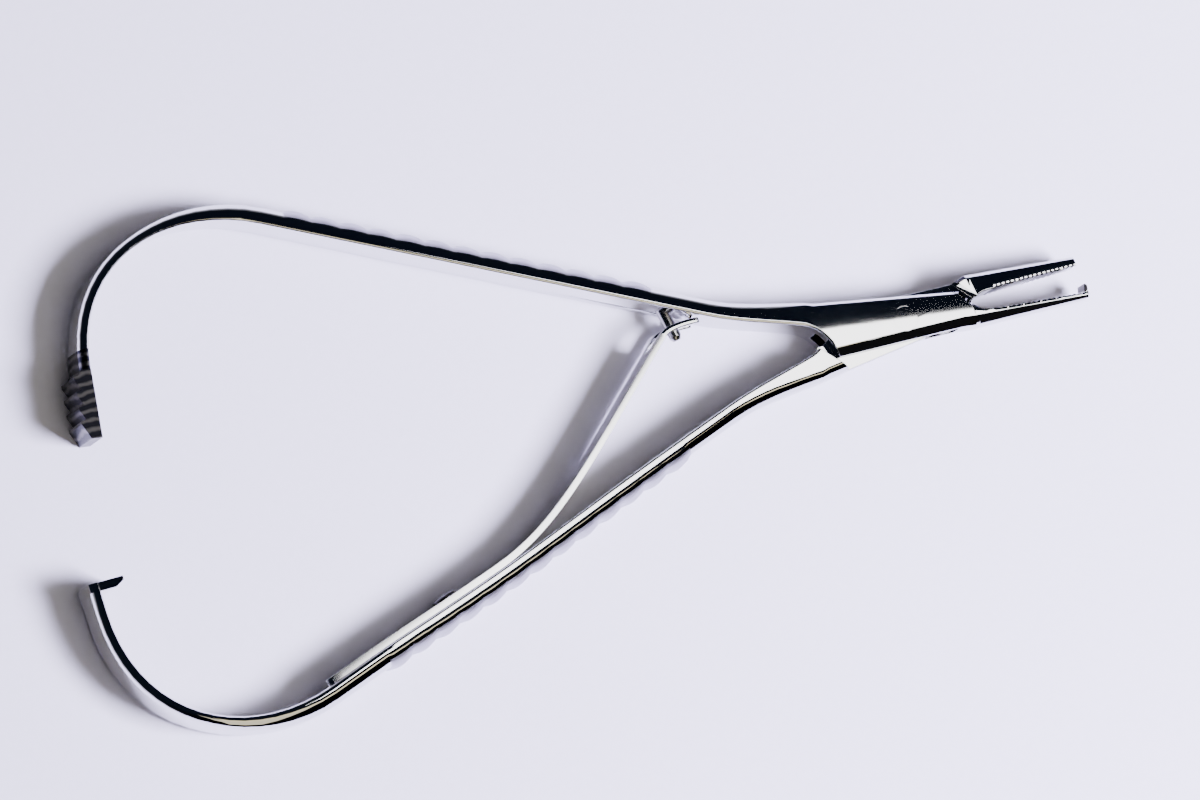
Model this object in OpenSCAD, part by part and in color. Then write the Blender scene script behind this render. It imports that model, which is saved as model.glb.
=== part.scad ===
// Mathieu pliers: two forged arms crossing in a box lock, held open by a leaf spring,
// with a hooked lower jaw and a ratchet at the ends of the handles.
// The pliers lie flat. The origin is on the pivot's axis, at the underside of the box lock.
// X runs from the handles to the jaws, along the line that halves the open handles.

/* [Joint] */
// Depth of both arms, from the underside to the top
arm_depth = 6.5; // [5.5:0.1:8]
// Angle through which the jaws open
open_angle = 7.6; // [7:0.1:8]
// Angle between the jaw line and the line that halves the handles
jaw_lean = 1.7; // [0:0.1:3]
// Width of the box lock at its back end
box_back_w = 7.3; // [7:0.1:8]
// Width of the box lock at its front end
box_front_w = 4.8; // [4.4:0.1:6]
// Distance from the pivot to the box's back corner
box_back = 9.3; // [9:0.1:9.6]
// Distance from the pivot to the box's front corner
box_front = 7.8; // [7:0.1:8.4]
// Chamfer along the outer side of the hooked jaw and the box
box_chamfer = 1.1; // [0.4:0.1:1.2]
// Thickness of the tongue inside the box
tongue_t = 2.6; // [2:0.1:3]
// Running gap above and below the tongue
tongue_gap = 0.1; // [0.05:0.01:0.15]
// Diameter of the pivot pin
pivot_d = 3.2; // [2.4:0.1:3.6]
// Running gap round the pivot pin in the tongue
pivot_gap = 0.05; // [0.03:0.01:0.08]

/* [Jaws] */
// Distance from the pivot to the end of the hooked jaw
jaw_len = 25.5; // [20:0.1:30]
// Thickness of a jaw at its tip
jaw_tip_t = 0.8; // [0.6:0.1:1.2]
// Depth of a jaw at its tip
jaw_tip_depth = 2.8; // [2.2:0.1:4]
// Height of the hook above the gripping face
hook_h = 1; // [0.8:0.1:1.6]
// Thickness of the hook along the jaw
hook_t = 0.6; // [0.6:0.1:1]
// Distance between two serrations
serration_pitch = 0.72; // [0.6:0.02:1]
// Depth of the serrations
serration_depth = 0.22; // [0.1:0.02:0.3]

/* [Handles] */
// Angle of each straight grip to the centre line when the jaws are closed
grip_angle = 18.7; // [18:0.1:19]
// Distance of the box arm's grip line from the pivot
box_grip_set = 4.9; // [4.6:0.1:5.2]
// Distance of the tongue arm's grip line from the pivot
tongue_grip_set = 4; // [3.8:0.1:4.3]
// Outward bow of the tongue arm's grip
grip_bow = 0.4; // [0:0.05:0.6]
// Thickness of an arm behind the joint
neck_t = 3.3; // [3:0.1:3.6]
// Thickness of an arm along the grip, between two ribs
grip_t = 2.4; // [2.1:0.1:2.6]
// Thickness of an arm in its end bend
bend_t = 1.35; // [1.2:0.05:1.8]
// Radius of the outer edges of the handles
edge_r = 1.9; // [1:0.05:2]
// Number of ribs on each grip
ribs = 13; // [8:1:13]
// Distance between two ribs
rib_pitch = 3.75; // [2.8:0.05:3.8]
// Height of a rib
rib_h = 0.65; // [0.3:0.05:0.9]

/* [Ratchet] */
// Distance from the pivot line to the inner face of the box arm's end
rack_x = 107.1; // [105:0.1:110]
// Length of the toothed block
rack_len = 8.8; // [8:0.1:9.4]
// Thickness of the toothed block over its teeth
rack_t = 2.4; // [2.2:0.1:3]
// Distance between two ratchet teeth
tooth_pitch = 1.9; // [1.6:0.1:2]
// Height of a ratchet tooth
tooth_h = 0.7; // [0.4:0.05:0.8]
// Reach of the catch in from the tongue arm's end
catch_reach = 3.3; // [3:0.1:3.6]
// Thickness of the catch
catch_t = 1.15; // [0.9:0.05:1.4]
// Depth of the catch
catch_depth = 6; // [5:0.1:6.5]

/* [Leaf spring] */
// Thickness of the leaf spring
leaf_t = 0.9; // [0.7:0.05:1]
// Depth of the leaf spring
leaf_depth = 5; // [4:0.1:5.5]
// Length of the leaf that lies on the tongue arm
leaf_seat = 26; // [24:0.5:28]
// Width of the fork in the spring's tip
fork_w = 2.3; // [2:0.1:2.6]
// Length of the fork
fork_len = 8.5; // [7:0.1:10]
// Diameter of the screw's shank
screw_d = 1.6; // [1.2:0.1:2]
// Diameter of the screw's head
screw_head_d = 3.2; // [2.6:0.1:3.6]
// Height of the screw's head
screw_head_h = 0.6; // [0.4:0.05:0.8]
// Diameter of the guide pin
guide_d = 1.6; // [1.2:0.1:1.8]
// Length of the guide pin outside the arm
guide_len = 4; // [3:0.1:4.5]

/* [Hidden] */
overrun = 1;
reach = 30;
fit_gap = 0.02;
mid_z = arm_depth / 2;

// Small sizes of the joint
slot_end_gap = 0.3;
slot_angle = 25;
slot_half = 5.05;
box_side_cut = 0.3;
tongue_side_more = 0.4;
throat_back = 11.6;
throat_drop = 0.5;
throat_share = 0.45;
throat_top = 11.8;
throat_steps = 5;
front_low_x = 9.6;
front_low_y = 0.4;
front_throat = 2;
handle_root = 13.5;
handle_root_y = 1.04;
root_shift = 0.14;
shoulder_in = 12.5;
shoulder_out = 9.25;
shoulder_front_gap = 0.25;
joint_steps = 6;
jaw_steps = 6;
round_share = 0.67;

// Small sizes of the jaws
jaw_relief = 1.7;
jaw_root_x = 9.4;
box_jaw_t = 1.65;
tongue_jaw_t = 2.05;
tongue_jaw_more = 0.5;
depth_power = 1.2;
jaw_chamfer = 0.4;
jaw_chamfer_tip = 0.3;
bite_edge = 0.15;
box_edge = 0.4;
neck_round = 1.4;
tip_gap = 0.05;
hook_taper = 0.25;
first_serration = 12.2;
serration_land = 0.03;

// Small sizes of the handles
grip_start = 26;
first_rib = 7.6;
tail_start = 82;
inner_edge = 0.2;
rib_steps = 6;
rib_power = 0.6;
rib_shares = [0.8, 1, 0.8];
rib_z_share = 0.36;
bend_steps = 18;
neck_steps = 8;
neck_power = 2;
neck_spread = 0.28;
bow_power = 1.5;
least_wall = 0.3;
rib_reach = 2;
edge_steps = 5;
bend_full_shares = [0.5, 0.56];
bend_thin_share = 0.5;
least_miter = 0.5;
end_steps = 2;

// Small sizes of the ratchet
rack_top = 7.1;
catch_gap = 0.3;
catch_end_y = 4.9;
catch_rise = 4;
catch_tip_t = 0.5;
teeth = 4;
first_tooth = 0.6;
tooth_shares = [0.7, 0.9];

// Small sizes of the spring and its fastenings
leaf_tip_t = 0.7;
leaf_steps = 20;
knee_steps = 8;
seat_steps = 12;
leaf_lift = 4;
leaf_settle = 22;
leaf_knee = 1.5;
leaf_knee_turn = 46;
leaf_tip_len = 4.2;
leaf_tip_turn = 22.5;
leaf_gap = 0.1;
leaf_tip_place = 28.2;
screw_place = 45;
slope_step = 0.5;
screw_grip = 1.5;
screw_crown = 0.25;
guide_place = 32.5;
guide_slant = 37;
guide_seat = 1.4;
guide_tip_h = 0.5;
guide_tip_d = 1;

// Vectors in the plane of the arms
function turned(p, a) = [p.x * cos(a) - p.y * sin(a), p.x * sin(a) + p.y * cos(a)];
function unit(v) = v / norm(v);
function mix(a, b, k) = a * (1 - k) + b * k;
function clamped(k) = min(1, max(0, k));
function smooth(k) = let(c = clamped(k)) c * c * (3 - 2 * c);
function bezier(a, b, c, d, k) =
    mix(mix(mix(a, b, k), mix(b, c, k), k), mix(mix(b, c, k), mix(c, d, k), k), k);

// Each arm is drawn closed, with its handle up and its jaw down. The tongue arm is then
// mirrored. side is 1 for the box arm and -1 for the tongue arm.
function lean(side) = side * jaw_lean;
function box_at_rest(p) = turned(p, -open_angle / 2);
function tongue_at_rest(p) = turned([p.x, -p.y], open_angle / 2);

// Outline of the joint and the jaw: heights over the distance from the pivot
function jaw_end(side) = side > 0 ? jaw_len : jaw_len - hook_t - tip_gap;
function bite_y(x) = -(jaw_len - x) * tan(jaw_relief);
function jaw_place(x) = clamped((x - jaw_root_x) / (jaw_len - jaw_root_x));
function jaw_t(side, x) = side > 0 ? mix(box_jaw_t, jaw_tip_t, jaw_place(x))
    : mix(tongue_jaw_t, jaw_tip_t, jaw_place(x)) + tongue_jaw_more;
function edge_y(x) = mix(box_front_w, box_back_w, (box_front - x) / (box_front + box_back)) / 2;
function depth_at(x) = mix(arm_depth, jaw_tip_depth, pow(jaw_place(x), depth_power));
function rounded(a, corner, b, k) =
    bezier(a, mix(a, corner, round_share), mix(b, corner, round_share), b, k);

// The front edge of the box runs down and turns into the gripping face
front_top = [box_front, edge_y(box_front)];
front_low = [front_low_x, front_low_y];
front_end = [front_low_x + front_throat, bite_y(front_low_x + front_throat)];
front_corner = front_low + (front_low - front_top)
               * (front_low_y - front_end.y) / (front_top.y - front_low_y);
front_curve = [for (k = [0:throat_steps]) rounded(front_low, front_corner, front_end, k / throat_steps)];
function top_line(side) = [[-throat_top, edge_y(-throat_top) - min(0, side) * tongue_side_more],
                           front_top, for (p = front_curve) p, [jaw_len, bite_y(jaw_len)]];

// The low side of the box and the jaw, then the back edge that turns into the handle
function low_y(side, x) = (side > 0 ? box_side_cut : -tongue_side_more / 2) - edge_y(x);
function back_line(side) = [[-box_back, low_y(side, -box_back)],
                            [box_front, low_y(side, box_front)],
                            [jaw_root_x, bite_y(jaw_root_x) - jaw_t(side, jaw_root_x)],
                            [jaw_len, bite_y(jaw_len) - jaw_t(side, jaw_len)]];
function root_y(side) = handle_root_y + side * root_shift;
function throat_curve(side) =
    let(outer = back_line(side)[0], corner = [-throat_back, root_y(side) - throat_drop])
    let(start = mix(outer, corner, throat_share))
    [for (k = [0:throat_steps - 1])
        rounded(start, corner, [-handle_root, root_y(side)], k / throat_steps)];
function joint_places(side) = [
    for (k = [0:jaw_steps]) mix(jaw_end(side), front_end.x, k / jaw_steps),
    for (k = [throat_steps - 1:-1:0]) front_curve[k].x,
    jaw_root_x, box_front,
    for (k = [1:joint_steps]) mix(box_front, -box_back, k / joint_steps)];

// Inner line of a handle: neck, straight grip, end bend, end
grip_dir = [-cos(grip_angle), sin(grip_angle)];
grip_out = [sin(grip_angle), cos(grip_angle)];
function grip_set(side) = side > 0 ? box_grip_set : tongue_grip_set;
function grip_point(side, x) =
    [-x, (x * sin(grip_angle) - grip_set(side)) / cos(grip_angle)];
function root_point(side) = turned([-handle_root, root_y(side)], lean(side));
grip_len = (tail_start - grip_start) / cos(grip_angle);
function bow(side, s) =
    side > 0 ? 0 : grip_bow * pow(sin(180 * pow(clamped(s / grip_len), bow_power)), 2);
function grip_place(side, s) =
    grip_point(side, grip_start) + s * grip_dir + bow(side, s) * grip_out;
rack_face_x = rack_x + rack_t;
catch_tip_x = rack_face_x - tooth_h + catch_gap;
function end_x(side) = side > 0 ? rack_x : catch_tip_x + catch_reach;
function end_top(side) = side > 0 ? rack_top : catch_end_y + catch_rise;
function end_y(side) = side > 0 ? rack_top - rack_len : catch_end_y;
function tail_x(side) = tail_start + end_x(side) - end_x(1);

// Each station of a handle holds its inner point, thickness and rib height
function neck_station(side, k) =
    let(a = root_point(side), b = grip_point(side, grip_start), third = norm(b - a) / 3)
    let(thick = mix(grip_t, neck_t - side * neck_spread, pow(1 - k, neck_power)))
    [bezier(a, mix(a, b, 1 / 3), b - third * grip_dir, b, k), thick, 0];
function grip_station(side, s, rib) = [grip_place(side, s), grip_t, rib];
function rib_height(k) = rib_h * pow(abs(sin(180 * k)), rib_power);
function bend_station(side, k) =
    let(a = grip_point(side, tail_x(side)))
    let(d = [-end_x(side), end_top(side)])
    let(corner = grip_point(side, end_x(side)))
    let(b = mix(a, corner, bend_full_shares[0]), c = mix(d, corner, bend_full_shares[1]))
    [bezier(a, b, c, d, k), mix(grip_t, bend_t, smooth(k / bend_thin_share)), 0];
function end_station(side, k) =
    [[-end_x(side), mix(end_top(side), end_y(side), k)], bend_t, 0];
function handle_stations(side) = [
    for (k = [0:neck_steps]) neck_station(side, k / neck_steps),
    for (k = [0:ribs * rib_steps])
        grip_station(side, first_rib + k * rib_pitch / rib_steps, rib_height(k / rib_steps)),
    for (k = [0:bend_steps]) bend_station(side, k / bend_steps),
    for (k = [1:end_steps]) end_station(side, k / end_steps)];

// Direction across a line at one of its points, long enough to keep an offset even
function across(v) = [-v.y, v.x];
function offset_at(line, i) =
    let(n = len(line) - 1)
    let(a = unit(line[min(i, n - 1) + 1] - line[min(i, n - 1)]))
    let(b = unit(line[max(i, 1)] - line[max(i, 1) - 1]))
    let(m = unit(across(a) + across(b)))
    m / max(least_miter, m * across(a));

// One ring of an arm: inner edges chamfered, outer edges rounded, a rib between them
function ring(low, low_in, high, high_in, z0, z1, cut, roll, round, rib) =
    let(mid = (z0 + z1) / 2)
    let(rib_z = rib_z_share * (z1 - z0 - 2 * roll))
    let(steps = [for (k = [0:edge_steps]) let(a = 90 * k / edge_steps)
        mix([1 - k / edge_steps, k / edge_steps], [1 - sin(a), 1 - cos(a)], round)])
    let(edge = [for (k = [0:edge_steps])
        high + (roll * steps[k][0] - rib * rib_shares[0] * pow(k / edge_steps, rib_reach)) * high_in])
    [[low + cut * low_in, z0], [low, z0 + cut], [low, z1 - cut], [low + cut * low_in, z1],
     for (k = [0:edge_steps]) [edge[k], z1 - roll * steps[k][1]],
     for (k = [0:2]) [high - rib * rib_shares[k] * high_in, mid + (1 - k) * rib_z],
     for (k = [edge_steps:-1:0]) [edge[k], z0 + roll * steps[k][1]]];

module arm_body(side) {
    joint_x = joint_places(side);
    throat = throat_curve(side);
    stations = handle_stations(side);
    joint_n = len(joint_x);
    root_n = joint_n + len(throat);
    inner = [for (s = stations) s[0]];
    outward = [for (i = [0:len(inner) - 1]) offset_at(inner, i)];
    high_x = [for (x = joint_x) x,
              for (k = [1:len(throat)]) mix(-box_back, -throat_top, k / len(throat))];
    low = [for (x = joint_x) turned([x, lookup(x, back_line(side))], lean(side)),
           for (p = throat) turned(p, lean(side)), for (p = inner) p];
    high = [for (x = high_x) turned([x, lookup(x, top_line(side))], lean(side)),
            for (i = [0:len(inner) - 1]) inner[i] - outward[i] * stations[i][1]];
    n = len(low);
    // The chamfer of the low side runs out at the back edge of the box
    back_dir = unit(low[joint_n] - low[joint_n - 1]);
    low_side = -across(unit(low[joint_n - 1] - low[joint_n - 2]));
    rings = [for (i = [0:n - 1])
        let(depth = depth_at(i < joint_n ? joint_x[i] : 0))
        let(place = jaw_place(i < joint_n ? joint_x[i] : 0))
        let(cut = i >= joint_n ? inner_edge : mix(side > 0 ? box_chamfer : jaw_chamfer,
                                                  jaw_chamfer_tip, place))
        let(low_in = i == joint_n - 1 ? back_dir / (back_dir * low_side) : -offset_at(low, i))
        let(away = clamped((i - root_n) / neck_steps))
        let(biting = i < joint_n && joint_x[i] > (side > 0 ? front_low_x : 0))
        let(thick = i < root_n ? neck_t : stations[i - root_n][1])
        let(roll = biting ? bite_edge
                          : min(mix(side > 0 ? box_edge : neck_round, edge_r, away), thick - least_wall))
        ring(low[i], low_in, high[i], offset_at(high, i), mid_z - depth / 2, mid_z + depth / 2,
             cut, roll, side > 0 ? away : 1, i < root_n ? 0 : stations[i - root_n][2])];
    m = len(rings[0]);
    points = [for (r = rings, p = r) [p[0].x, p[0].y, p[1]]];
    faces = [[for (k = [0:m - 1]) k],
             for (i = [0:n - 2], k = [0:m - 1])
                 let(a = i * m + k, b = i * m + (k + 1) % m)
                 each k > 1 && k < (m + 3) / 2 ? [[a, a + m, b], [b, a + m, b + m]]
                                               : [[a, a + m, b + m], [a, b + m, b]],
             [for (k = [m - 1:-1:0]) (n - 1) * m + k]];
    polyhedron(points, faces, convexity = 10);
}

// Slot through the box, from side to side, in the closed pose
module slot_block(half, height) {
    rotate([0, 0, slot_angle])
        translate([-reach, -half, mid_z - height / 2])
            cube([2 * reach, 2 * half, height]);
}

// Serrations across one gripping face
module serrations(side) {
    last = jaw_end(side) - (side > 0 ? hook_t : 0);
    past = side > 0 ? 0 : overrun;
    count = floor((last - first_serration) / serration_pitch);
    start = last - count * serration_pitch;
    translate([0, 0, -overrun])
        linear_extrude(arm_depth + 2 * overrun)
            polygon([[start, overrun],
                     for (k = [0:count - 1]) each [
                         [start + k * serration_pitch,
                          bite_y(start + k * serration_pitch) - serration_land],
                         [start + (k + 0.5) * serration_pitch,
                          bite_y(start + (k + 0.5) * serration_pitch) - serration_depth]],
                     [last + past, bite_y(last) - serration_land],
                     [last + past, overrun]]);
}

module hook() {
    root = bite_y(jaw_len) - jaw_tip_t / 2;
    translate([0, 0, mid_z - jaw_tip_depth / 2])
        linear_extrude(jaw_tip_depth)
            polygon([[jaw_len - hook_t, root], [jaw_len, root],
                     [jaw_len, hook_h - hook_taper], [jaw_len - hook_taper, hook_h],
                     [jaw_len - hook_t + hook_taper, hook_h]]);
}

// Toothed block on the end of the box arm: each tooth rises from below and drops above
module rack() {
    root = rack_face_x - tooth_h;
    low = rack_top - rack_len;
    linear_extrude(arm_depth)
        polygon([[-rack_x, rack_top], [-rack_x, low], [-root + first_tooth / 2, low],
                 for (k = [0:teeth - 1]) each [
                     [-root, low + first_tooth + k * tooth_pitch],
                     [-rack_face_x, low + first_tooth + (k + tooth_shares[0]) * tooth_pitch],
                     [-rack_face_x, low + first_tooth + (k + tooth_shares[1]) * tooth_pitch]],
                 [-root, low + first_tooth + teeth * tooth_pitch],
                 [-rack_x - bend_t, rack_top]]);
}

// Catch on the end of the tongue arm
module catch() {
    out = end_x(-1) + bend_t;
    translate([0, 0, mid_z - catch_depth / 2])
        linear_extrude(catch_depth)
            polygon([[-out, catch_end_y], [-catch_tip_x, catch_end_y],
                     [-catch_tip_x, catch_end_y + catch_tip_t],
                     [-catch_tip_x - catch_t, catch_end_y + catch_t],
                     [-out, catch_end_y + catch_t]]);
}

module box_arm() {
    color("#c9ccd2")
        rotate([0, 0, -open_angle / 2])
            difference() {
                union() {
                    arm_body(1);
                    rack();
                    rotate([0, 0, jaw_lean]) hook();
                }
                rotate([0, 0, jaw_lean]) {
                    slot_block(slot_half, tongue_t + 2 * tongue_gap);
                    serrations(1);
                }
                translate([0, 0, -overrun])
                    cylinder(d = pivot_d + 2 * fit_gap, h = arm_depth + 2 * overrun, $fn = 48);
                at_guide() cylinder(d = guide_d + 2 * fit_gap, h = 2 * guide_seat,
                                    center = true, $fn = 32);
            }
}

// Space above or below the tongue, between its two shoulders
module shoulder_space(z0, z1) {
    back_y = edge_y(-box_back);
    clear = across(unit(front_top - front_low)) * -shoulder_front_gap;
    more = unit(front_top - front_low) * reach / 2;
    out = unit([-shoulder_out, back_y] - [-shoulder_in, 0]) * reach / 2;
    translate([0, 0, z0])
        linear_extrude(z1 - z0)
            polygon([[-shoulder_in, 0] - out, [-shoulder_out, back_y] + out,
                     [front_low.x, -front_low.y] + [clear.x, -clear.y] - [more.x, -more.y],
                     [front_top.x, -front_top.y] + [clear.x, -clear.y] + [more.x, -more.y]]);
}

// Corners that the tongue leaves free for the ends of the slot
module slot_corners() {
    half = slot_half - slot_end_gap;
    for (end = [1, -1])
        intersection() {
            rotate([0, 0, -slot_angle])
                translate([-reach, end > 0 ? half : -half - reach, -overrun])
                    cube([2 * reach, reach, arm_depth + 2 * overrun]);
            translate([end > 0 ? 0 : -throat_back - overrun, end > 0 ? 0 : -reach, -overrun])
                cube([throat_back + overrun, reach, arm_depth + 2 * overrun]);
        }
}

module tongue_arm() {
    low = mid_z - tongue_t / 2;
    high = mid_z + tongue_t / 2;
    color("#c9ccd2")
        rotate([0, 0, open_angle / 2])
            mirror([0, 1, 0])
                difference() {
                    union() {
                        arm_body(-1);
                        catch();
                    }
                    rotate([0, 0, -jaw_lean]) {
                        shoulder_space(high, arm_depth + overrun);
                        shoulder_space(-overrun, low);
                        slot_corners();
                        serrations(-1);
                    }
                    translate([0, 0, -overrun])
                        cylinder(d = pivot_d + 2 * pivot_gap, h = arm_depth + 2 * overrun, $fn = 48);
                    at_screw() cylinder(d = screw_d + 2 * fit_gap, h = 2 * screw_grip,
                                        center = true, $fn = 32);
                }
}

module pivot_pin() {
    color("#d2d4d8") cylinder(d = pivot_d, h = arm_depth, $fn = 48);
}

// Places of the screw and the guide pin, each with Z out of the arm's inner face
module at_screw() {
    p = grip_place(-1, screw_place);
    d = unit(grip_place(-1, screw_place + slope_step) - grip_place(-1, screw_place - slope_step));
    translate([p.x, p.y, mid_z])
        rotate([90, 0, atan2(-d.y, -d.x)])
            children();
}

module at_guide() {
    p = grip_point(1, 0) + grip_dir * guide_place;
    translate([p.x, p.y, mid_z])
        rotate([90, 0, atan2(-grip_out.x, grip_out.y) + guide_slant])
            children();
}

// Middle line of the leaf, in the rest pose: along the tongue arm, across to the box arm, and
// over a knee to the tip
function seat_point(x) = tongue_at_rest(grip_place(-1, (x - grip_start) / cos(grip_angle))
                                        - grip_out * (leaf_t / 2 + fit_gap));
seat_line = [for (k = [0:seat_steps]) seat_point(tail_x(-1) - leaf_seat * k / seat_steps)];
seat_end = seat_line[seat_steps];
leaf_dir = unit(seat_end - seat_line[seat_steps - 1]);
leaf_tip = box_at_rest(grip_point(1, 0) + grip_dir * leaf_tip_place
           - grip_out * (leaf_tip_t / 2 + leaf_gap));
tip_dir = turned(box_at_rest(-grip_dir), leaf_tip_turn);
flank_dir = turned(tip_dir, leaf_knee_turn);
knee = leaf_tip - tip_dir * leaf_tip_len;
knee_start = knee - flank_dir * leaf_knee;
leaf_line = [for (p = seat_line) p,
             for (k = [1:leaf_steps])
                 bezier(seat_end, seat_end + leaf_dir * leaf_lift,
                        knee_start - flank_dir * leaf_settle, knee_start, k / leaf_steps),
             for (k = [1:knee_steps]) rounded(knee_start, knee, leaf_tip, k / knee_steps)];
function leaf_thick(i) = mix(leaf_t, leaf_tip_t, clamped((i - seat_steps) / leaf_steps));

module leaf_spring() {
    n = len(leaf_line) - 1;
    color("#b9bcc2")
        difference() {
            translate([0, 0, mid_z - leaf_depth / 2])
                linear_extrude(leaf_depth)
                    polygon([for (i = [0:n]) leaf_line[i] + offset_at(leaf_line, i) * leaf_thick(i) / 2,
                             for (i = [n:-1:0]) leaf_line[i] - offset_at(leaf_line, i) * leaf_thick(i) / 2]);
            translate([leaf_tip.x, leaf_tip.y, mid_z])
                rotate([0, 0, atan2(tip_dir.y, tip_dir.x)])
                    translate([-fork_len, -reach / 2, -fork_w / 2])
                        cube([fork_len + overrun, reach, fork_w]);
            rotate([0, 0, open_angle / 2])
                mirror([0, 1, 0])
                    at_screw() cylinder(d = screw_d + 2 * fit_gap, h = 2 * (leaf_t + overrun),
                                        center = true, $fn = 32);
        }
}

module spring_screw() {
    color("#aeb1b7")
        rotate([0, 0, open_angle / 2])
            mirror([0, 1, 0])
                at_screw() {
                    translate([0, 0, -screw_grip + fit_gap])
                        cylinder(d = screw_d, h = screw_grip + leaf_t + fit_gap, $fn = 32);
                    translate([0, 0, leaf_t + 2 * fit_gap])
                        rotate_extrude($fn = 48)
                            polygon([[0, 0], [screw_head_d / 2, 0],
                                     [screw_head_d / 2, screw_head_h - screw_crown],
                                     [screw_head_d / 2 - screw_crown, screw_head_h],
                                     [0, screw_head_h]]);
                }
}

module guide_pin() {
    color("#c2c5ca")
        rotate([0, 0, -open_angle / 2])
            at_guide() {
                translate([0, 0, -guide_seat + fit_gap])
                    cylinder(d = guide_d, h = guide_seat + guide_len - guide_tip_h - fit_gap, $fn = 32);
                translate([0, 0, guide_len - guide_tip_h])
                    cylinder(d1 = guide_d, d2 = guide_tip_d, h = guide_tip_h, $fn = 32);
            }
}

box_arm();
tongue_arm();
pivot_pin();
leaf_spring();
spring_screw();
guide_pin();
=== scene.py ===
# %% [markdown]
# # Mathieu pliers
# These are small steel pliers with two forged arms that cross in a box lock, a leaf spring that
# holds them open, and a ratchet at the ends of the handles. The exact solids come from the CAD
# model. This script gives them fine edges, a polished finish, a floor, light and a camera.

from math import atan2, cos, pi, radians, sin

import bmesh
import bpy
from mathutils import Matrix, Vector


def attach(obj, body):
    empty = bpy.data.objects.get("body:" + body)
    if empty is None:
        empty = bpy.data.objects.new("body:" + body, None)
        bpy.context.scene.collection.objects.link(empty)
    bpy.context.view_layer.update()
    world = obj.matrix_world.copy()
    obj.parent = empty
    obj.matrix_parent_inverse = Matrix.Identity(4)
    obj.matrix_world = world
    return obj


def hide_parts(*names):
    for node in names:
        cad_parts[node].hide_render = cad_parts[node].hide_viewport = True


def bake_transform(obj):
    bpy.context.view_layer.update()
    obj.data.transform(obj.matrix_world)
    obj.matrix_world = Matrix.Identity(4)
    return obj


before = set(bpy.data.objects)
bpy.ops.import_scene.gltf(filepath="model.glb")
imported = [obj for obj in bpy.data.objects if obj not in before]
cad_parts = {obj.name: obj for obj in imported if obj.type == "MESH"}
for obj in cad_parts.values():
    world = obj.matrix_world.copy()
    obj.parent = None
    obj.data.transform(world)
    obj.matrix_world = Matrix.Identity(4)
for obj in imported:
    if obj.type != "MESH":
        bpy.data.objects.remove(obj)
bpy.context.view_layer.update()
MM = 0.001

# %% [markdown]
# ## Camera
# The pliers were seen from above through a long lens, leaning about 19 degrees towards their
# handles. A long lens keeps parallel edges parallel, so it stands far away.

# %% Make the camera
camera_data = bpy.data.cameras.new("long_lens")
camera_data.lens = 474.4
camera_data.clip_end = 20
camera = bpy.data.objects.new("camera", camera_data)
camera.location = (-0.65252, -0.23229, 1.89454)
camera.rotation_euler = (radians(10.706), radians(-15.855), radians(-14.046))
bpy.context.scene.collection.objects.link(camera)
bpy.context.scene.camera = camera
print("Camera", [round(v, 3) for v in camera.location], "lens", camera_data.lens)

# %% [markdown]
# ## Finishes
# Polished steel is a mirror with faint marks: fine scratches from the buffing wheel and smudges
# from hands. Both change the roughness a little, and the scratches also tilt the surface. They
# are made once, as a node group, and every steel here uses it with its own values.

# %% A helper that wires nodes
def wire(tree, source, target):
    """Joins an output to an input."""
    tree.links.new(source, target)


def math_node(tree, operation, a, b):
    """One sum on two values, each a number or an output."""
    node = tree.nodes.new("ShaderNodeMath")
    node.operation = operation
    for socket, value in zip(node.inputs, (a, b)):
        if isinstance(value, (int, float)):
            socket.default_value = value
        else:
            wire(tree, value, socket)
    return node.outputs[0]


# %% The group with scratches and smudges
def make_polish_group():
    """Scratches and smudges, in millimetres of the object's own space."""
    group = bpy.data.node_groups.new("polish_marks", "ShaderNodeTree")
    face = group.interface
    for name, value in (("Roughness", 0.06), ("Smudge", 0.06), ("Scratch", 0.05), ("Dirt", 0.0)):
        face.new_socket(name, in_out="INPUT", socket_type="NodeSocketFloat").default_value = value
    for name, kind in (("Roughness", "NodeSocketFloat"), ("Height", "NodeSocketFloat"),
                       ("Tone", "NodeSocketFloat")):
        face.new_socket(name, in_out="OUTPUT", socket_type=kind)
    given = group.nodes.new("NodeGroupInput")
    result = group.nodes.new("NodeGroupOutput")
    place = group.nodes.new("ShaderNodeTexCoord")
    smudge = group.nodes.new("ShaderNodeTexNoise")
    smudge.inputs["Scale"].default_value = 210
    smudge.inputs["Detail"].default_value = 4
    wire(group, place.outputs["Object"], smudge.inputs["Vector"])
    stretch = group.nodes.new("ShaderNodeMapping")
    stretch.inputs["Rotation"].default_value = (0, 0, radians(14))
    stretch.inputs["Scale"].default_value = (60, 2600, 2600)
    wire(group, place.outputs["Object"], stretch.inputs["Vector"])
    scratch = group.nodes.new("ShaderNodeTexNoise")
    scratch.inputs["Scale"].default_value = 1
    scratch.inputs["Detail"].default_value = 3
    wire(group, stretch.outputs[0], scratch.inputs["Vector"])
    patches = math_node(group, "SUBTRACT", smudge.outputs[0], 0.42)
    patches = math_node(group, "MAXIMUM", patches, 0.0)
    streaks = math_node(group, "SUBTRACT", scratch.outputs[0], 0.5)
    rough = math_node(group, "MULTIPLY", patches, given.outputs["Smudge"])
    lined = math_node(group, "MULTIPLY", math_node(group, "ABSOLUTE", streaks, 0.0),
                      given.outputs["Scratch"])
    rough = math_node(group, "ADD", given.outputs["Roughness"],
                      math_node(group, "ADD", rough, lined))
    wire(group, rough, result.inputs["Roughness"])
    wire(group, scratch.outputs[0], result.inputs["Height"])
    tone = math_node(group, "SUBTRACT", 1.0,
                     math_node(group, "MULTIPLY", given.outputs["Dirt"], smudge.outputs[0]))
    wire(group, tone, result.inputs["Tone"])
    return group


polish_marks = make_polish_group()
print("Node group", polish_marks.name, "with", len(polish_marks.nodes), "nodes")


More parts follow.
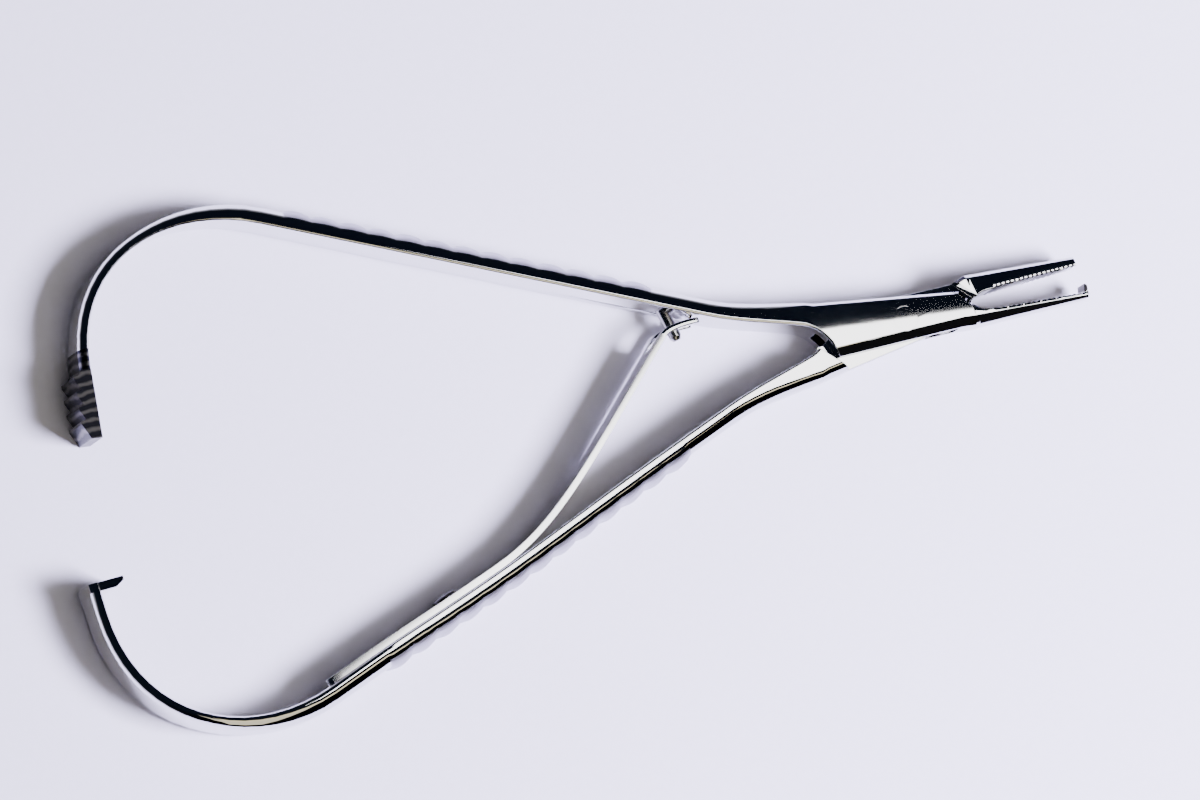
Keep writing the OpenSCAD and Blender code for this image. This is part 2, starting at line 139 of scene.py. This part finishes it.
# %% One steel from the group
def steel(name, colour, rough, smudge=0.06, scratch=0.05, dirt=0.0, bump=0.02):
    """A metal whose roughness, colour and bump come from the shared marks."""
    material = bpy.data.materials.new(name)
    material.use_nodes = True
    tree = material.node_tree
    shader = tree.nodes["Principled BSDF"]
    shader.inputs["Metallic"].default_value = 1
    marks = tree.nodes.new("ShaderNodeGroup")
    marks.node_tree = polish_marks
    for key, value in (("Roughness", rough), ("Smudge", smudge), ("Scratch", scratch), ("Dirt", dirt)):
        marks.inputs[key].default_value = value
    wire(tree, marks.outputs["Roughness"], shader.inputs["Roughness"])
    tint = tree.nodes.new("ShaderNodeMix")
    tint.data_type = "RGBA"
    tint.inputs[6].default_value = (*[c * 0.35 for c in colour], 1)
    tint.inputs[7].default_value = (*colour, 1)
    wire(tree, marks.outputs["Tone"], tint.inputs[0])
    wire(tree, tint.outputs[2], shader.inputs["Base Color"])
    relief = tree.nodes.new("ShaderNodeBump")
    relief.inputs["Strength"].default_value = bump
    relief.inputs["Distance"].default_value = 0.02 * MM
    wire(tree, marks.outputs["Height"], relief.inputs["Height"])
    if bump:
        wire(tree, relief.outputs[0], shader.inputs["Normal"])
    return material


arm_finish = steel("mirror_steel", (0.80, 0.80, 0.82), 0.012, smudge=0.008, scratch=0.006, bump=0)
rib_finish = steel("satin_steel", (0.60, 0.585, 0.65), 0.42, smudge=0.15, scratch=0.1, dirt=0.1)
# Painted shade: a near-black steel for the ratchet, the catch and the root of the jaw.
painted_shade_finish = steel("painted_shade_steel", (0.20, 0.195, 0.21), 0.30, smudge=0.3, scratch=0.4, dirt=0.7, bump=0.25)
pin_finish = steel("pin_steel", (0.50, 0.49, 0.51), 0.22, smudge=0.1, dirt=0.3)
leaf_finish = steel("leaf_steel", (0.88, 0.88, 0.90), 0.10, smudge=0.06, scratch=0.05, bump=0.004)
screw_finish = steel("screw_steel", (0.09, 0.085, 0.09), 0.3, smudge=0.2, scratch=0.2, dirt=0.4)
# Painted glints: bands of black and white colour stand for the highlights on the jaw's teeth.
painted_glint_finish = steel("painted_glint_steel", (0.80, 0.80, 0.82), 0.05, bump=0.05)
bite_tree = painted_glint_finish.node_tree
bite_place = bite_tree.nodes.new("ShaderNodeTexCoord")
glint_bands = bite_tree.nodes.new("ShaderNodeTexWave")
glint_bands.inputs["Scale"].default_value = 480
glint_bands.inputs["Distortion"].default_value = 1.2
glint_bands.inputs["Detail"].default_value = 2
wire(bite_tree, bite_place.outputs["Object"], glint_bands.inputs["Vector"])
glint_tone = bite_tree.nodes.new("ShaderNodeValToRGB")
glint_tone.color_ramp.elements[0].position = 0.40
glint_tone.color_ramp.elements[0].color = (0.05, 0.05, 0.06, 1)
glint_tone.color_ramp.elements[1].position = 0.62
glint_tone.color_ramp.elements[1].color = (0.92, 0.91, 0.94, 1)
wire(bite_tree, glint_bands.outputs[0], glint_tone.inputs[0])
wire(bite_tree, glint_tone.outputs[0], bite_tree.nodes["Principled BSDF"].inputs["Base Color"])
# Painted shade: dark rows across this steel stand for the shade between the ratchet's teeth.
cut_tree = painted_shade_finish.node_tree
cut_place = cut_tree.nodes.new("ShaderNodeTexCoord")
tooth_shade_rows = cut_tree.nodes.new("ShaderNodeTexWave")
tooth_shade_rows.bands_direction = "Y"
tooth_shade_rows.inputs["Scale"].default_value = 262
tooth_shade_rows.inputs["Distortion"].default_value = 4
tooth_shade_rows.inputs["Detail"].default_value = 3
wire(cut_tree, cut_place.outputs["Object"], tooth_shade_rows.inputs["Vector"])
tooth_shade_tone = cut_tree.nodes.new("ShaderNodeValToRGB")
tooth_shade_tone.color_ramp.elements[0].position = 0.35
tooth_shade_tone.color_ramp.elements[0].color = (0.03, 0.03, 0.045, 1)
tooth_shade_tone.color_ramp.elements[1].color = (0.22, 0.21, 0.225, 1)
wire(cut_tree, tooth_shade_rows.outputs[0], tooth_shade_tone.inputs[0])
wire(cut_tree, tooth_shade_tone.outputs[0], cut_tree.nodes["Principled BSDF"].inputs["Base Color"])
print("Finishes", [m.name for m in (arm_finish, rib_finish, painted_shade_finish, pin_finish, leaf_finish, screw_finish)])

# %% [markdown]
# ## Where the grips lie
# Both handles are drawn in the CAD model as one upper handle with the pliers closed, in
# millimetres. The upper one is then turned open, and the lower one is mirrored and turned the
# other way. The same steps here find the grips, the spring and the screw on the finished arms.

# %% Turn a closed handle's point to its place at rest
HALF_OPEN = 3.8
GRIP_ANGLE = radians(18.7)
GRIP_START = 26
GRIP_LENGTH = (82 - GRIP_START) / cos(GRIP_ANGLE)
GRIP_SET = {1: 4.9, -1: 4.0}
GRIP_BOW = 0.4
BOW_POWER = 1.5
grip_way = Vector((-cos(GRIP_ANGLE), sin(GRIP_ANGLE)))
grip_out = Vector((sin(GRIP_ANGLE), cos(GRIP_ANGLE)))


def turned(point, degrees):
    """Turns a flat point or direction about the pivot."""
    return Matrix.Rotation(radians(degrees), 2) @ point


def at_rest(side, point):
    """The open place of a point on the box arm's handle, side 1, or the tongue arm's, side -1."""
    return turned(Vector((point.x, side * point.y)), -side * HALF_OPEN)


def grip_place(side, run):
    """The inner line of a closed handle, so many millimetres behind the grip's start."""
    start = Vector((-GRIP_START, (GRIP_START * sin(GRIP_ANGLE) - GRIP_SET[side]) / cos(GRIP_ANGLE)))
    share = max(0, min(1, run / GRIP_LENGTH)) ** BOW_POWER
    bow = 0 if side == 1 else GRIP_BOW * sin(pi * share) ** 2
    return start + run * grip_way + bow * grip_out


print("Upper grip starts at", at_rest(1, grip_place(1, 0)), "and the lower one at", at_rest(-1, grip_place(-1, 0)))

# %% [markdown]
# ## Arms
# Each arm is one forging, ground and buffed. Its form is right in the CAD model, but its edges
# are razor sharp and its curves are made of small flat faces. A copy of the mesh is merged and
# shaded smooth, and gets narrow rounded edges as buffing leaves them. The flat tops are marked as
# strong faces, so that the smooth shading can't tilt them: a mirror shows the least tilt.

# %% A copy of a CAD solid with buffed edges
def buffed(node, name, finish, edge=0.1, widest=0.7, width_of=None, cuts=()):
    """A merged copy of a CAD node, with rounded edges, that stands for it."""
    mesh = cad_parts[node].data.copy()
    shape = bmesh.new()
    shape.from_mesh(mesh)
    bmesh.ops.remove_doubles(shape, verts=shape.verts, dist=0.002 * MM)
    bmesh.ops.dissolve_degenerate(shape, edges=shape.edges, dist=0.002 * MM)
    bmesh.ops.dissolve_limit(shape, angle_limit=radians(0.25), verts=shape.verts,
                             edges=shape.edges, delimit={"NORMAL"})
    for spot, way, past_x in cuts:
        fence = Vector((past_x * MM, 0, 0))
        bmesh.ops.bisect_plane(shape, geom=[*shape.faces, *shape.edges, *shape.verts],
                               plane_co=fence, plane_no=(1, 0, 0), dist=0.01 * MM)
        near = [face for face in shape.faces if (face.calc_center_bounds().x - fence.x) * past_x > 0]
        geometry = {item for face in near for item in (face, *face.edges, *face.verts)}
        bmesh.ops.bisect_plane(shape, geom=list(geometry), plane_co=Vector(spot) * MM, plane_no=way, dist=1e-7)
    strength = shape.faces.layers.int.new("__mod_weightednormals_faceweight")
    for face in shape.faces:
        face.smooth = True
        face[strength] = 16384 if abs(face.normal.z) > 0.99 else 0
    weight = shape.edges.layers.float.new("bevel_weight_edge")
    for rim in shape.edges:
        if rim.calc_face_angle(0) > radians(26):
            rim[weight] = (width_of(rim) if width_of else edge) / widest
    shape.to_mesh(mesh)
    shape.free()
    mesh.materials.clear()
    mesh.materials.append(finish)
    piece = bpy.data.objects.new(name, mesh)
    bpy.context.scene.collection.objects.link(piece)
    round_edges = piece.modifiers.new("buffed_edges", "BEVEL")
    round_edges.width = widest * MM
    round_edges.segments = 3
    round_edges.limit_method = "WEIGHT"
    round_edges.use_clamp_overlap = False
    round_edges.face_strength_mode = "FSTR_NEW"
    even_shine = piece.modifiers.new("even_shine", "WEIGHTED_NORMAL")
    even_shine.weight = 50
    even_shine.use_face_influence = True
    print(name, "has", len(mesh.polygons), "faces")
    return piece


# %% Make both arms
BEND_X = -84


def box_arm_width(rim):
    """How far an edge of the box arm is rounded. The handle's upper inner edge is the roundest."""
    middle = (rim.verts[0].co + rim.verts[1].co) / 2 / MM
    if middle.x < BEND_X:
        return 0.02
    on_pin_hole = -33 < middle.x < -28.5 and 1.2 < middle.z < 5.3
    if middle.xy.length < 2 or on_pin_hole:
        return 0
    level = any(face.normal.z > 0.99 for face in rim.link_faces)
    inner = any(face.normal.xy.dot(at_rest(1, -grip_out)) > 0.7 for face in rim.link_faces)
    if level and inner and middle.x < -13:
        return 0.2
    return 0.1 if middle.x < 4 else 0.03


RATCHET_Y = 16.8
hook_foot = max(vert.co.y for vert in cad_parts["box_arm"].data.vertices
                if 23.2 < vert.co.x / MM < 24.2) / MM + 0.15
print("The hook rises from y", round(hook_foot, 2))
CATCH_Y = -11.8
box_arm = buffed("box_arm", "box_arm_polished", arm_finish, width_of=box_arm_width,
                 cuts=[((0, RATCHET_Y, 0), (0, 1, 0), -86), ((0, hook_foot, 0), (0, 1, 0), 22)])
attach(box_arm, "box_side")
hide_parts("box_arm")


def tongue_arm_width(rim):
    """How far an edge of the tongue arm is rounded. The fine teeth of its jaw stay crisp."""
    x = (rim.verts[0].co.x + rim.verts[1].co.x) / 2 / MM
    if x < BEND_X:
        return 0.02
    return 0.1 if x < 4 else 0.03


def lowest_near(node, x):
    """The point of a node with the lowest y, close to one place along the jaws."""
    close = [vert.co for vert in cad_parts[node].data.vertices if abs(vert.co.x - x) < 0.8 * MM]
    return min(close, key=lambda point: point.y)


BITE_WIDTH = 0.4
jaw_root = lowest_near("tongue_arm", 15.5 * MM)
jaw_tip = lowest_near("tongue_arm", 24.0 * MM)
jaw_way = (jaw_tip - jaw_root).to_2d().normalized()
grip_normal = Vector((jaw_way.y, -jaw_way.x, 0))
bite_spot = jaw_root - grip_normal * BITE_WIDTH * MM
print("Gripping edge from", jaw_root / MM, "to", jaw_tip / MM)
tongue_arm = buffed("tongue_arm", "tongue_arm_polished", arm_finish, width_of=tongue_arm_width,
                    cuts=[((0, CATCH_Y, 0), (0, 1, 0), -86), (bite_spot / MM, grip_normal, 12.6)])
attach(tongue_arm, "tongue_side")
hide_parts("tongue_arm")

# %% [markdown]
# ## Ribs, ratchet and teeth
# The buffing wheel doesn't reach between the ribs, so the steel there stays satin. The ratchet, the
# catch and the slanted faces at the root of the tongue arm's jaw get a near-black steel as painted
# shade, and dark rows painted across it stand for the shade between the ratchet's teeth. A strip
# along the jaw's gripping edge gets painted glints: black and white bands of colour for the
# highlights on its teeth. These faces are found by their place and by the way that they look, and
# get a second finish on the same mesh.

# %% Give picked faces another finish
def refinish(piece, finish, chosen):
    """Gives every face that a test chooses another finish."""
    piece.data.materials.append(finish)
    slot = len(piece.data.materials) - 1
    picked = [face for face in piece.data.polygons if chosen(face)]
    for face in picked:
        face.material_index = slot
    print(piece.name, "has", len(picked), "faces in", finish.name)


def on_ribs(side):
    """A test for the faces between and on the ribs of one handle."""
    start, way, out = (at_rest(side, v) for v in (grip_place(side, 0), grip_way, grip_out))

    def chosen(face):
        run = (face.center.xy / MM - start).dot(way)
        return 6.5 < run < 57.5 and face.normal.xy.dot(out) > 0.62
    return chosen


for arm, side in ((box_arm, 1), (tongue_arm, -1)):
    refinish(arm, rib_finish, on_ribs(side))
# The ratchet, the catch and the jaw's root get the steel with painted shade.
refinish(box_arm, painted_shade_finish, lambda face: face.center.x < -88.5 * MM and face.center.y < RATCHET_Y * MM)
refinish(box_arm, screw_finish, lambda face: face.center.x > 23.4 * MM and face.center.y > hook_foot * MM)
refinish(tongue_arm, painted_shade_finish, lambda face: face.center.x < -88.5 * MM and face.center.y > CATCH_Y * MM)
refinish(tongue_arm, painted_shade_finish, lambda face: 7 * MM < face.center.x < 13.4 * MM
         and face.normal.x < -0.15 and 0.2 < abs(face.normal.z) < 0.99)
# A strip along the jaw's gripping edge gets the painted glints.
refinish(tongue_arm, painted_glint_finish, lambda face: face.center.x > 12.6 * MM
         and (face.center - bite_spot).dot(grip_normal) > 0)

# %% [markdown]
# ## Pins
# The pivot pin is ground flush and buffed with the box, so it has the same finish and hardly
# shows. The guide pin stands free, so its end and its edges are rounded a little more.

# %% Finish the pins
pivot_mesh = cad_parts["pivot_pin"].data
pivot_mesh.materials.clear()
pivot_mesh.materials.append(arm_finish)
guide_pin = buffed("guide_pin", "guide_pin_rounded", pin_finish, edge=0.12)
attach(guide_pin, "box_side")
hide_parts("guide_pin")

# %% [markdown]
# ## Leaf spring
# The spring is a strip cut from a sheet, slotted at one end, and bent. It is made the same way:
# a flat grid is the blank, the faces of the slot are deleted, each row of points is set along the
# bent line, and the strip gets its thickness by an extrusion. It is held by one arm and its tip
# leans on the other.

# %% Find the bent line of the strip
LEAF_SEAT = 26
LEAF_THICK = 0.9
LEAF_TIP_THICK = 0.7
FIT_GAP = 0.02
LEAF_TIP_PLACE = 28.2
LEAF_TIP_TURN = 22.5
LEAF_KNEE_TURN = 46
LEAF_TIP_LENGTH = 4.2


def curve(a, b, c, d, steps):
    """The points after the first one on a smooth line from a to d."""
    share = [k / steps for k in range(1, steps + 1)]
    return [a * (1 - t) ** 3 + b * 3 * t * (1 - t) ** 2 + c * 3 * t * t * (1 - t) + d * t ** 3 for t in share]


seat = []
for k in range(13):
    run = (87.3 - LEAF_SEAT * k / 12 - GRIP_START) / cos(GRIP_ANGLE)
    seat.append(at_rest(-1, grip_place(-1, run) - grip_out * (LEAF_THICK / 2 + FIT_GAP)))
leaf_way = (seat[-1] - seat[-2]).normalized()
front = Vector((0, -GRIP_SET[1] / cos(GRIP_ANGLE)))
leaf_tip = at_rest(1, front + grip_way * LEAF_TIP_PLACE - grip_out * (LEAF_TIP_THICK / 2 + 0.1))
tip_way = turned(at_rest(1, -grip_way), LEAF_TIP_TURN)
flank_way = turned(tip_way, LEAF_KNEE_TURN)
knee = leaf_tip - tip_way * LEAF_TIP_LENGTH
knee_start = knee - flank_way * 1.5
rise_line = curve(seat[-1], seat[-1] + leaf_way * 10, knee_start - flank_way * 18, knee_start, 24)
knee_line = curve(knee_start, knee_start.lerp(knee, 0.67), leaf_tip.lerp(knee, 0.67), leaf_tip, 14)
leaf_line = seat + rise_line + knee_line
print("Leaf line from", seat[0], "to", leaf_tip, "with", len(leaf_line), "points")

# %% Cut and bend the strip
FORK_LENGTH = 8.5
ROWS = (0.75, 2.1, 4.4, 5.75)
strip = bmesh.new()
bmesh.ops.create_grid(strip, x_segments=len(leaf_line) - 1, y_segments=3, size=1)
column = strip.verts.layers.int.new("column")
left = [0.0]
for here, there in zip(leaf_line[::-1], leaf_line[-2::-1]):
    left.append(left[-1] + (there - here).length)
left.reverse()
last = len(leaf_line) - 1


def side_of(k):
    """The direction square to the bent line at one point."""
    way = (leaf_line[min(k + 1, last)] - leaf_line[max(k - 1, 0)]).normalized()
    return Vector((-way.y, way.x))


def thick_at(k):
    """The strip is ground thinner towards its tip."""
    share = max(0, k - len(seat) + 1) / (last - len(seat) + 1)
    return LEAF_THICK + (LEAF_TIP_THICK - LEAF_THICK) * share


for vert in strip.verts:
    vert[column] = k = round((vert.co.x + 1) / 2 * last)
    low = leaf_line[k] - side_of(k) * thick_at(k) / 2
    vert.co = Vector((low.x, low.y, ROWS[round((vert.co.y + 1) / 2 * 3)])) * MM
slot_faces = [face for face in strip.faces
              if abs(face.calc_center_median().z / MM - 3.25) < 0.5
              and left[min(v[column] for v in face.verts)] < FORK_LENGTH]
bmesh.ops.delete(strip, geom=slot_faces, context="FACES")
print("The slot took", len(slot_faces), "faces")

# %% Thicken the strip and round its corners
raised = bmesh.ops.extrude_face_region(strip, geom=strip.faces[:])["geom"]
for vert in (v for v in raised if isinstance(v, bmesh.types.BMVert)):
    k = vert[column]
    vert.co += Vector((*(side_of(k) * thick_at(k)), 0)) * MM
bmesh.ops.recalc_face_normals(strip, faces=strip.faces)


def corner_edges(k):
    """The short edges through the strip's thickness at one of its ends."""
    return [edge for edge in strip.edges if all(v[column] == k for v in edge.verts)
            and abs(edge.verts[0].co.z - edge.verts[1].co.z) < 1e-6 and len(edge.link_faces) == 2
            and edge.calc_face_angle(0) > 1]


for k, radius in ((0, 0.8), (last, 0.55)):
    corners = corner_edges(k)
    bmesh.ops.bevel(strip, geom=corners, offset=radius * MM, segments=5, profile=0.5, affect="EDGES", material=-1)
    print("Rounded", len(corners), "corners by", radius, "mm")
for face in strip.faces:
    face.smooth = True
leaf_mesh = bpy.data.meshes.new("leaf_spring_bent")
strip.to_mesh(leaf_mesh)
strip.free()
leaf_mesh.materials.append(leaf_finish)
leaf = bpy.data.objects.new("leaf_spring_bent", leaf_mesh)
bpy.context.scene.collection.objects.link(leaf)
leaf_edges = leaf.modifiers.new("broken_edges", "BEVEL")
leaf_edges.width = 0.05 * MM
leaf_edges.segments = 2
leaf_edges.limit_method = "ANGLE"
leaf_edges.angle_limit = radians(50)
leaf_shine = leaf.modifiers.new("even_shine", "WEIGHTED_NORMAL")
leaf_shine.weight = 50
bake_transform(leaf)
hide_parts("leaf_spring")
print("Leaf spring has", len(leaf_mesh.polygons), "faces")

# %% [markdown]
# ## Spring screw
# A small screw with a low domed head holds the spring. Half of its outline is drawn once and spun
# about the screw's axis. Two cuts across the dome mark the slot, and the faces between them are
# pushed down.

# %% Spin the screw and cut its slot
SCREW_PLACE = 45
SCREW_RADIUS = 0.8
HEAD_RADIUS = 1.6
HEAD_LOW = LEAF_THICK + 2 * FIT_GAP
HEAD_HIGH = HEAD_LOW + 0.58
SLOT_HALF = 0.2
screw_shape = bmesh.new()
outline = [(0, -1.0), (SCREW_RADIUS, -1.0), (SCREW_RADIUS, HEAD_LOW), (HEAD_RADIUS - 0.05, HEAD_LOW),
           (HEAD_RADIUS, HEAD_LOW + 0.05)]
dome_run = [radians(90 - 90 * k / 6) for k in range(7)]
outline += [(HEAD_RADIUS * sin(t), HEAD_LOW + 0.28 + 0.3 * cos(t)) for t in dome_run]
chain = [screw_shape.verts.new((x * MM, 0, z * MM)) for x, z in outline]
edges = [screw_shape.edges.new(pair) for pair in zip(chain, chain[1:])]
bmesh.ops.spin(screw_shape, geom=chain + edges, cent=(0, 0, 0), axis=(0, 0, 1), angle=2 * pi, steps=40,
               use_merge=True)
bmesh.ops.remove_doubles(screw_shape, verts=screw_shape.verts, dist=0.001 * MM)
bmesh.ops.recalc_face_normals(screw_shape, faces=screw_shape.faces)
for x in (-SLOT_HALF, SLOT_HALF):
    bmesh.ops.bisect_plane(screw_shape, geom=screw_shape.verts[:] + screw_shape.edges[:] + screw_shape.faces[:],
                           plane_co=(x * MM, 0, 0), plane_no=(1, 0, 0))
slot_floor = [face for face in screw_shape.faces
              if abs(face.calc_center_median().x) < SLOT_HALF * MM
              and face.calc_center_median().z > (HEAD_LOW + 0.3) * MM]
pushed = bmesh.ops.extrude_face_region(screw_shape, geom=slot_floor)["geom"]
for vert in (v for v in pushed if isinstance(v, bmesh.types.BMVert)):
    vert.co.z = (HEAD_LOW + 0.22) * MM
print("Slot made from", len(slot_floor), "faces")

# %% Set the screw in its place
inward = at_rest(-1, -grip_out)
beside = at_rest(-1, grip_way)
foot = at_rest(-1, grip_place(-1, SCREW_PLACE))
place = Matrix(((0, beside.x, inward.x, foot.x * MM), (0, beside.y, inward.y, foot.y * MM),
                (1, 0, 0, 3.25 * MM), (0, 0, 0, 1)))
bmesh.ops.transform(screw_shape, matrix=place, verts=screw_shape.verts)
bmesh.ops.recalc_face_normals(screw_shape, faces=screw_shape.faces)
for face in screw_shape.faces:
    face.smooth = True
screw_mesh = bpy.data.meshes.new("spring_screw_slotted")
screw_shape.to_mesh(screw_mesh)
screw_shape.free()
screw_mesh.materials.append(screw_finish)
screw = bpy.data.objects.new("spring_screw_slotted", screw_mesh)
bpy.context.scene.collection.objects.link(screw)
screw_edges = screw.modifiers.new("broken_edges", "BEVEL")
screw_edges.width = 0.04 * MM
screw_edges.segments = 2
screw_edges.limit_method = "ANGLE"
screw_edges.angle_limit = radians(50)
screw_shine = screw.modifiers.new("even_shine", "WEIGHTED_NORMAL")
screw_shine.weight = 50
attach(screw, "tongue_side")
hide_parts("spring_screw")
print("Screw has", len(screw_mesh.polygons), "faces, head at", tuple(round(v, 2) for v in foot))

# %% [markdown]
# ## Floor
# The pliers lie on a pale sheet that runs on past the picture. It is one large plane with a
# faint grain.

# %% Lay the floor
floor_shape = bmesh.new()
bmesh.ops.create_grid(floor_shape, x_segments=1, y_segments=1, size=3)
floor_mesh = bpy.data.meshes.new("floor")
floor_shape.to_mesh(floor_mesh)
floor_shape.free()
floor = bpy.data.objects.new("floor", floor_mesh)
floor.location.z = -0.02 * MM
bpy.context.scene.collection.objects.link(floor)
paper = bpy.data.materials.new("pale_sheet")
paper.use_nodes = True
sheet = paper.node_tree
sheet_shader = sheet.nodes["Principled BSDF"]
sheet_shader.inputs["Roughness"].default_value = 0.7
sheet_place = sheet.nodes.new("ShaderNodeTexCoord")
grain = sheet.nodes.new("ShaderNodeTexNoise")
grain.inputs["Scale"].default_value = 900
grain.inputs["Detail"].default_value = 5
wire(sheet, sheet_place.outputs["Object"], grain.inputs["Vector"])
grain_tone = sheet.nodes.new("ShaderNodeValToRGB")
grain_tone.color_ramp.elements[0].color = (0.73, 0.715, 0.75, 1)
grain_tone.color_ramp.elements[1].color = (0.78, 0.765, 0.80, 1)
wire(sheet, grain.outputs[0], grain_tone.inputs[0])
wire(sheet, grain_tone.outputs[0], sheet_shader.inputs["Base Color"])
floor_mesh.materials.append(paper)

# %% [markdown]
# ## Light
# A mirror shows what stands round it, so the lamps here are drawn as much as they are lit. One
# long panel hangs over the pliers. The flat tops show it as white up to its straight edge, and
# that edge is the line where the top of the box turns from white to black. The edge's place
# follows from the camera's angle: a flat top sends the view to a point that lies 0.34 times the
# panel's height further on. A weak warm strip beyond the panel gives the gold line on the rounded
# handles. The floor is lit by lamps that the mirror doesn't see.

# %% Hang one panel
def panel(name, corner, size, height, radiance, colour, turn=0.0):
    """A flat lamp facing down. Its first corner, size and height are in metres."""
    data = bpy.data.lights.new(name, "AREA")
    data.shape = "RECTANGLE"
    data.size, data.size_y = size
    data.energy = radiance * pi * size[0] * size[1]
    data.color = colour
    lamp = bpy.data.objects.new(name, data)
    middle = Vector((size[0] / 2, size[1] / 2, 0))
    middle.rotate(Matrix.Rotation(turn, 3, "Z"))
    lamp.location = Vector((*corner, height)) + middle
    lamp.rotation_euler.z = turn
    lamp.visible_diffuse = False
    bpy.context.scene.collection.objects.link(lamp)
    return lamp


PANEL_HEIGHT = 0.5
PANEL_DEPTH = 0.12
PANEL_GLOW = 5
PANEL_COLOUR = (1.0, 0.985, 0.98)


def hung_from(name, start, length, degrees):
    """A panel whose straight far edge starts at a point and runs on at an angle."""
    turn = radians(degrees)
    corner = Vector(start) + PANEL_DEPTH * Vector((sin(turn), -cos(turn)))
    return panel(name, corner, (length, PANEL_DEPTH), PANEL_HEIGHT, PANEL_GLOW, PANEL_COLOUR, turn)


long_panel = hung_from("long_panel", (0.0767, 0.0662), 0.139, -3.27)
jaw_panel = hung_from("jaw_panel", (0.2155, 0.063), 0.60, 4.3)
gold_strip = panel("gold_strip", (-0.05, -0.30), (0.325, 0.10), PANEL_HEIGHT, 1.3, (1.0, 0.88, 0.58))
gold_sheet = panel("gold_sheet", (-0.12, -1.2), (0.29, 0.92), PANEL_HEIGHT, 1.1, (1.0, 0.90, 0.66))
print("Panels at", [tuple(round(v, 3) for v in lamp.location) for lamp in (long_panel, jaw_panel, gold_strip, gold_sheet)])


# %% Light the floor
def floor_lamp(name, azimuth, height, distance, size, power, colour):
    """A square lamp that lights the floor and throws shadows, and that no mirror shows."""
    data = bpy.data.lights.new(name, "AREA")
    data.size = size
    data.energy = power
    data.color = colour
    lamp = bpy.data.objects.new(name, data)
    aim = Vector((cos(azimuth) * cos(height), sin(azimuth) * cos(height), sin(height)))
    centre = Vector((0.0, 0, 0))
    lamp.location = centre + distance * aim
    lamp.rotation_euler = aim.to_track_quat("Z", "Y").to_euler()
    lamp.visible_glossy = False
    bpy.context.scene.collection.objects.link(lamp)
    return lamp


side_lamp = floor_lamp("side_lamp", radians(-35), radians(50), 0.6, 0.24, 30, (0.70, 0.67, 1.0))
top_lamp = floor_lamp("top_lamp", radians(-60), radians(75), 1.6, 1.2, 10, (1.0, 0.94, 0.90))
print("Floor lamps", side_lamp.name, top_lamp.name)

# %% The room
# The room is black above and turns to grey towards the floor, so tops seen from low down stay
# pale. One side of it is black down to the floor, and shows in the slanted side of the box.
world = bpy.data.worlds.new("room")
world.use_nodes = True
room = world.node_tree
look = room.nodes.new("ShaderNodeTexCoord")
split = room.nodes.new("ShaderNodeSeparateXYZ")
wire(room, look.outputs["Generated"], split.inputs[0])
rise = room.nodes.new("ShaderNodeValToRGB")
rise.color_ramp.elements[0].position = 0.05
rise.color_ramp.elements[0].color = (0.42, 0.42, 0.46, 1)
rise.color_ramp.elements[1].position = 0.32
rise.color_ramp.elements[1].color = (0.004, 0.006, 0.012, 1)
wire(room, split.outputs["Z"], rise.inputs[0])
side = math_node(room, "ADD", math_node(room, "MULTIPLY", split.outputs["X"], 0.35),
                 math_node(room, "MULTIPLY", split.outputs["Y"], -0.93))
dark_side = room.nodes.new("ShaderNodeMapRange")
dark_side.inputs["From Min"].default_value = 0.4
dark_side.inputs["From Max"].default_value = 0.75
dark_side.inputs["To Min"].default_value = 1
dark_side.inputs["To Max"].default_value = 0.02
wire(room, side, dark_side.inputs["Value"])
wire(room, rise.outputs[0], room.nodes["Background"].inputs["Color"])
wire(room, dark_side.outputs[0], room.nodes["Background"].inputs["Strength"])
bpy.context.scene.world = world
